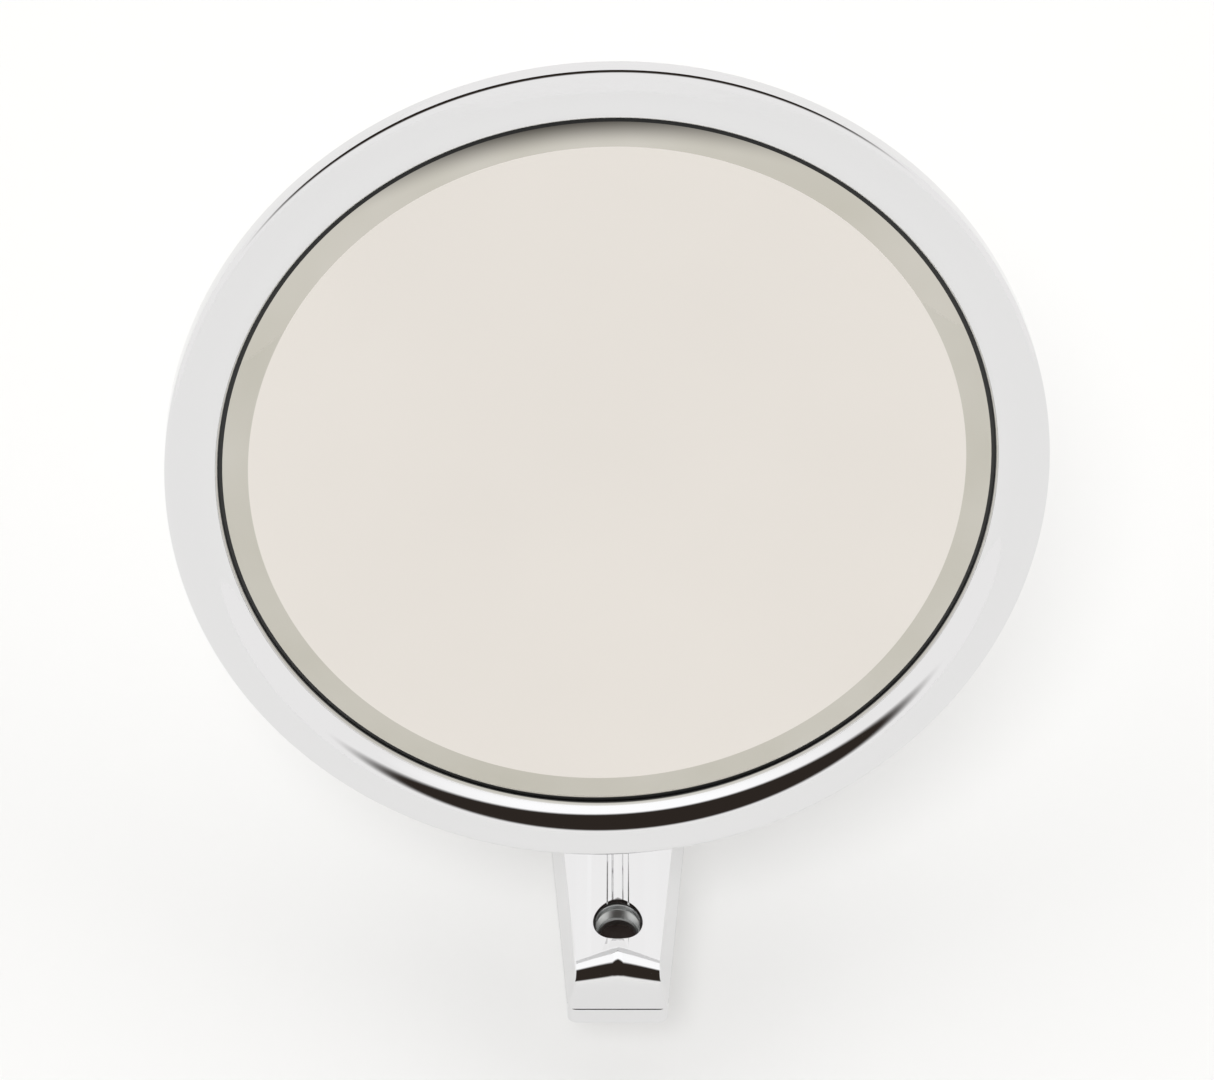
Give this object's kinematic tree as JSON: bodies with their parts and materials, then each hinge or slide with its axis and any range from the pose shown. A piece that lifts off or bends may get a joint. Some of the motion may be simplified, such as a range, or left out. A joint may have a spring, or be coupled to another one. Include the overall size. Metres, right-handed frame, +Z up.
{
  "type": "extendable shaving mirror",
  "caption": "Round bevelled mirror in a chrome bezel, tilting on a neck that swivels on a folding two-link wall arm.",
  "frame": {"origin": "centre of the wall plate's back face, the face that lies on the wall", "axes": "+Y into the wall, +Z up, +X to the right of someone facing the wall; arms folded over each other, mirror leaning back 20 degrees"},
  "size_m": [0.1991, 0.1918, 0.2654],
  "materials": {
    "chrome": "polished chrome plate",
    "mirror": "silvered float glass with a bevelled edge",
    "steel": "zinc-plated steel, satin",
    "nylon": "natural nylon, matte",
    "foam": "closed-cell foam, matte",
    "board": "hardboard, matte"
  },
  "bodies": {
    "wall": {"wall_plate": "chrome", "wall_screw_1": "steel", "wall_screw_2": "steel", "wall_screw_3": "steel", "wall_bracket": "chrome", "bracket_screw_1": "steel", "bracket_screw_2": "steel", "wall_pin": "chrome", "wall_pin_nut": "chrome"},
    "rear_link": {"rear_arm": "chrome", "wall_bush": "nylon", "wall_washer_upper": "nylon", "wall_washer_lower": "nylon", "elbow_bush": "nylon"},
    "front_link": {"front_arm": "chrome", "elbow_screw": "chrome", "elbow_spring_washer": "steel", "elbow_washer": "nylon", "swivel_bush": "nylon"},
    "neck_post": {"neck": "chrome", "swivel_washer": "steel", "swivel_screw": "steel", "tilt_bolt": "chrome", "tilt_spring_washer": "steel", "tilt_washer": "nylon", "tilt_nut": "chrome"},
    "head": {"bezel_ring": "chrome", "mirror_glass": "mirror", "foam_ring": "foam", "backing_board": "board", "back_shell": "chrome", "nut_plate": "steel", "hinge_lug": "chrome", "lug_screw_1": "steel", "lug_screw_2": "steel", "lug_screw_3": "steel"}
  },
  "joints": [
    {"name": "wall_swivel", "type": "hinge", "parent": "wall", "child": "rear_link", "pos_m": [0, -0.032, 0], "axis": [0, 0, 1], "range_deg": [-85, 85]},
    {"name": "elbow", "type": "hinge", "parent": "rear_link", "child": "front_link", "pos_m": [0, -0.152, 0], "axis": [0, 0, 1], "range_deg": [-180, 180]},
    {"name": "mirror_swivel", "type": "hinge", "parent": "front_link", "child": "neck_post", "pos_m": [0, -0.0675, 0], "axis": [0, 0, 1], "range_deg": [-180, 180]},
    {"name": "mirror_tilt", "type": "hinge", "parent": "neck_post", "child": "head", "pos_m": [0.00091, -0.08548, 0.1248], "axis": [-0.9987, -0.0506, 0], "range_deg": [-40, 60]}
  ]
}
